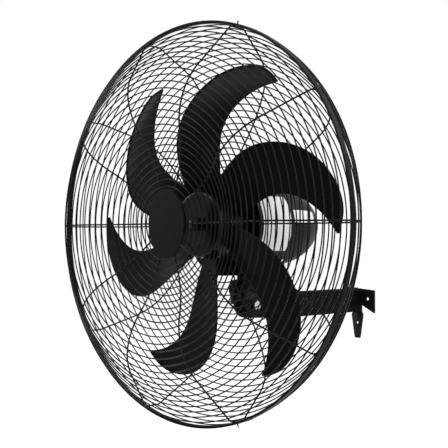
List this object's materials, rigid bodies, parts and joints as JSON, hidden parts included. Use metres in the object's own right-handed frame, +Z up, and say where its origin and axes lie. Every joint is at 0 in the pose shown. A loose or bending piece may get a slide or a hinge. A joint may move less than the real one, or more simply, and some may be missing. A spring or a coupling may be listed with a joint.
{
  "type": "wall mounted fan",
  "caption": "Black wall fan with a round wire cage and sickle-shaped blades; the head tilts and swings on a folded steel wall arm.",
  "frame": {"origin": "middle of the wall plate's back face, at the height of the arm's centre line", "axes": "+Z up, +Y into the wall, so the fan blows along -Y; +X is to the right seen from the front"},
  "size_m": [0.61, 0.503, 0.61],
  "materials": {
    "cage_paint": "black, semi-gloss",
    "bracket_paint": "black, satin",
    "arm_paint": "black, satin",
    "neck_paint": "black, cast surface under paint",
    "motor_paint": "dark grey, satin",
    "blade_plastic": "black, moulded",
    "badge_plastic": "black, bare",
    "knob_plastic": "black, ribbed",
    "housing_plastic": "pale, inside the motor cover",
    "nylon": "black nylon",
    "steel": "zinc plated",
    "dark_steel": "blackened fastener steel",
    "core_steel": "stacked sheet",
    "cast_aluminium": "as cast",
    "bronze": "sintered bronze",
    "winding": "varnished copper wire"
  },
  "bodies": {
    "wall_arm": {"wall_plate": "bracket_paint", "arm": "arm_paint", "pivot_spacer": "steel", "tilt_bolt": "dark_steel", "tilt_washers": "dark_steel", "tilt_nut": "dark_steel"},
    "neck": {"neck": "neck_paint", "spindle": "steel", "thrust_washer": "nylon", "spindle_set_screw": "dark_steel", "link_stud": "steel"},
    "link": {"crank_link": "steel"},
    "rotor": {"impeller": "blade_plastic", "hub_nut": "dark_steel", "hub_washer": "dark_steel", "drive_pin": "steel", "motor_shaft": "steel", "rotor_core": "core_steel"},
    "crank": {"crank": "steel", "crank_pin": "steel"},
    "knob": {"oscillation_knob": "knob_plastic", "knob_rod": "steel"},
    "head": {"badge_cap": "badge_plastic", "badge_plate": "cage_paint", "badge_screw": "steel", "cable_gland": "nylon", "cover_screws": "steel", "crank_bush": "bronze", "end_shield": "cast_aluminium", "front_bearing": "steel", "front_guard_radials": "cage_paint", "front_guard_rings": "cage_paint", "gearbox_housing": "housing_plastic", "guard_tabs": "cage_paint", "motor_front_shell": "motor_paint", "motor_rear_cover": "motor_paint", "rear_bearing": "steel", "rear_guard_plate": "cage_paint", "rear_guard_radials": "cage_paint", "rear_guard_rings": "cage_paint", "rear_guard_screws": "steel", "rim_band": "cage_paint", "rim_clamp_nut": "dark_steel", "rim_clamp_screw": "dark_steel", "run_capacitor": "housing_plastic", "spindle_bush": "bronze", "stator_core": "core_steel", "stator_windings": "winding"}
  },
  "joints": [
    {"name": "tilt", "type": "hinge", "parent": "wall_arm", "child": "neck", "pos_m": [0, -0.3, 0.004], "axis": [1, 0, 0], "range_deg": [-15, 25]},
    {"name": "oscillation", "type": "hinge", "parent": "neck", "child": "head", "pos_m": [0, -0.308, 0.052], "axis": [0, 0, 1], "range_deg": [-36, 36]},
    {"name": "fan_spin", "type": "hinge", "parent": "head", "child": "rotor", "pos_m": [0, -0.31, 0.132], "axis": [0, 1, 0], "continuous": true},
    {"name": "crank_turn", "type": "hinge", "parent": "head", "child": "crank", "pos_m": [0, -0.225, 0.056], "axis": [0, 0, 1], "continuous": true},
    {"name": "link_swing", "type": "hinge", "parent": "neck", "child": "link", "pos_m": [0.027, -0.308, 0.0465], "axis": [0, 0, 1], "range_deg": [-37, 37]},
    {"name": "knob_pull", "type": "slide", "parent": "head", "child": "knob", "axis": [0, 0, 1], "range_m": [0, 0.008]}
  ],
  "couplings": [
    {"joint": "crank_turn", "follows": "fan_spin", "ratio": 0.0074},
    {"joint": "link_swing", "follows": "oscillation", "ratio": 1}
  ]
}
